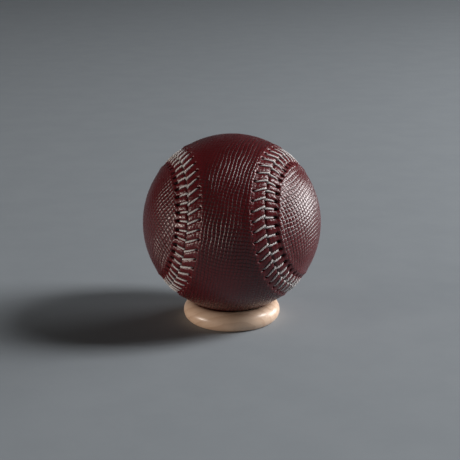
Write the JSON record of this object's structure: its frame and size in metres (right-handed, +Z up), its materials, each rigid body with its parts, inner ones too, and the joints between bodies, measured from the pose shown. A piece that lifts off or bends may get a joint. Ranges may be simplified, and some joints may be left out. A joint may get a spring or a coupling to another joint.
{
  "type": "baseball",
  "caption": "Leather-covered baseball with a raised, hand-sewn V-stitched seam over a wound yarn and rubber-cork core, resting on a turned wooden ring that it lifts off.",
  "frame": {"origin": "middle of the ring's underside, on the surface that it stands on", "axes": "+Z up, along which the ball lifts out of the ring; -Y towards the viewer, where the front panel's waist faces; +X to the viewer's right"},
  "size_m": [0.0736, 0.0778, 0.0784],
  "materials": {
    "maple": "pale turned wood, rubbed smooth with a soft sheen",
    "cork": "ground cork bound with rubber, dull",
    "black_rubber": "moulded, dull",
    "red_rubber": "moulded, dull",
    "grey_wool": "tightly wound wool yarn",
    "white_wool": "tightly wound wool yarn",
    "cotton": "fine wound cotton, tacky with glue",
    "leather": "dyed dark red, embossed with a fine cross-hatch, satin",
    "waxed_thread": "off-white waxed twisted thread"
  },
  "bodies": {
    "stand": {"ring_stand": "maple"},
    "ball": {"cork_center": "cork", "black_rubber_shell_lower": "black_rubber", "black_rubber_shell_upper": "black_rubber", "red_rubber_gasket": "red_rubber", "red_rubber_shell_lower": "red_rubber", "red_rubber_shell_upper": "red_rubber", "first_winding_grey_wool": "grey_wool", "second_winding_white_wool": "white_wool", "third_winding_grey_wool": "grey_wool", "finishing_winding_cotton": "cotton", "cover_panel_front": "leather", "cover_panel_back": "leather", "stitch_thread": "waxed_thread"}
  },
  "joints": [
    {"name": "ball_lift", "type": "slide", "parent": "stand", "child": "ball", "axis": [0, 0, 1], "range_m": [0, 0.06]}
  ]
}
